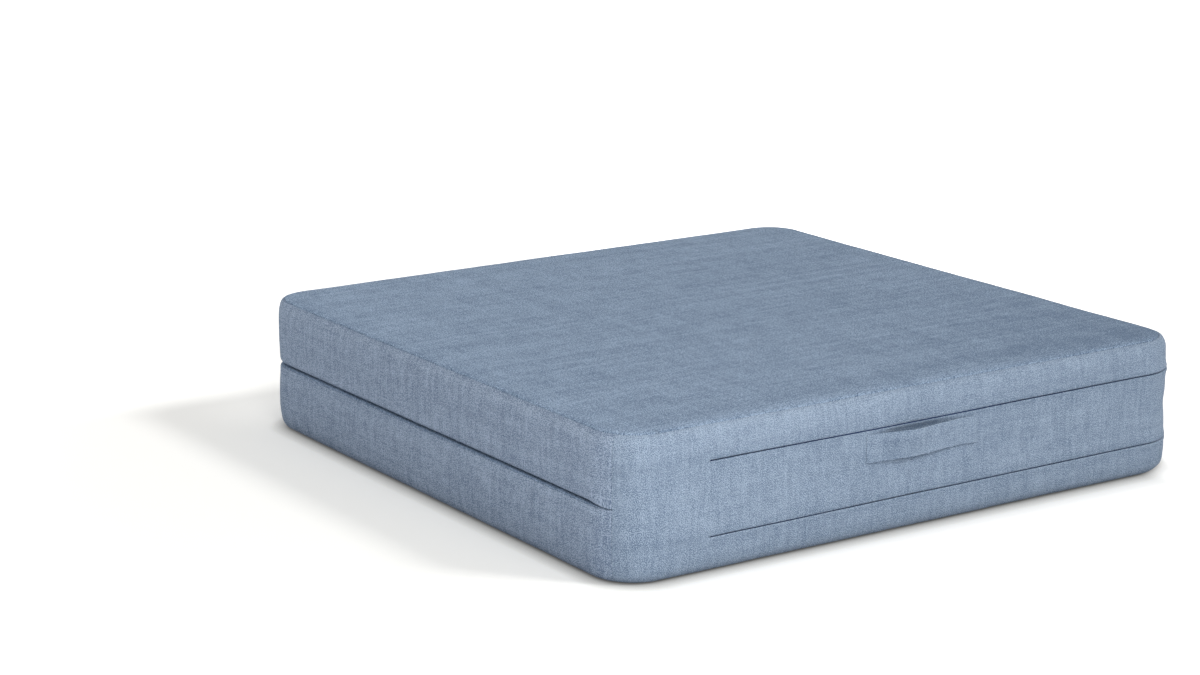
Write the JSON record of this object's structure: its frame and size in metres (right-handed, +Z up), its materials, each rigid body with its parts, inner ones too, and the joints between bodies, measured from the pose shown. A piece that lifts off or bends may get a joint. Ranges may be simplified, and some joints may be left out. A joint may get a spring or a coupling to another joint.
{
  "type": "folding futon mattress",
  "caption": "Foam futon mattress that folds in two along one side, in a zipped blue woven cover with a slack carrying strap on the fold's face.",
  "frame": {"origin": "on the floor under the middle of the folded mattress, strap and zip pulls left out", "axes": "+X runs along the fold, +Y from the fold's face to the open side, +Z up"},
  "size_m": [0.9891, 0.9772, 0.2],
  "materials": {
    "cover_cloth": "matte",
    "thread": "matte",
    "foam": "matte",
    "wadding": "matte",
    "liner": "matte",
    "zip_tape": "matte",
    "zip_coil": "satin",
    "zip_metal": "satin"
  },
  "bodies": {
    "lower_half": {"lower_foam_core": "foam", "lower_wadding": "wadding", "lower_liner": "liner", "lower_outer_panel": "cover_cloth", "lower_inner_panel": "cover_cloth", "lower_side_border": "cover_cloth", "lower_spine_border": "cover_cloth", "lower_zip_tape_inner": "zip_tape", "lower_zip_tape_outer": "zip_tape", "lower_zip_row_inner": "zip_coil", "lower_zip_row_outer": "zip_coil", "lower_zip_stops": "zip_metal", "spine_fold": "cover_cloth"},
    "upper_half": {"upper_foam_core": "foam", "upper_wadding": "wadding", "upper_liner": "liner", "upper_outer_panel": "cover_cloth", "upper_inner_panel": "cover_cloth", "upper_side_border": "cover_cloth", "upper_spine_border": "cover_cloth", "upper_zip_tape_inner": "zip_tape", "upper_zip_tape_outer": "zip_tape", "upper_zip_row_inner": "zip_coil", "upper_zip_row_outer": "zip_coil", "upper_zip_stops": "zip_metal", "handle_strap": "cover_cloth", "strap_stitching": "thread"},
    "lower_slider": {"lower_zip_slider": "zip_metal"},
    "lower_pull": {"lower_zip_pull": "zip_metal"},
    "upper_slider": {"upper_zip_slider": "zip_metal"},
    "upper_pull": {"upper_zip_pull": "zip_metal"}
  },
  "joints": [
    {"name": "unfold", "type": "hinge", "parent": "lower_half", "child": "upper_half", "pos_m": [0, -0.4895, 0.1], "axis": [1, 0, 0], "range_deg": [0, 180], "deforming": ["spine_fold"]},
    {"name": "lower_zip_slide", "type": "slide", "parent": "lower_half", "child": "lower_slider", "axis": [0, -1, 0], "range_m": [0, 0.73]},
    {"name": "lower_pull_swing", "type": "hinge", "parent": "lower_slider", "child": "lower_pull", "pos_m": [0.4952, 0.3277, 0.049], "axis": [0, -1, 0], "range_deg": [0, 180]},
    {"name": "upper_zip_slide", "type": "slide", "parent": "upper_half", "child": "upper_slider", "axis": [0, -1, 0], "range_m": [0, 0.73]},
    {"name": "upper_pull_swing", "type": "hinge", "parent": "upper_slider", "child": "upper_pull", "pos_m": [0.4952, 0.3277, 0.151], "axis": [0, -1, 0], "range_deg": [0, 180]}
  ]
}
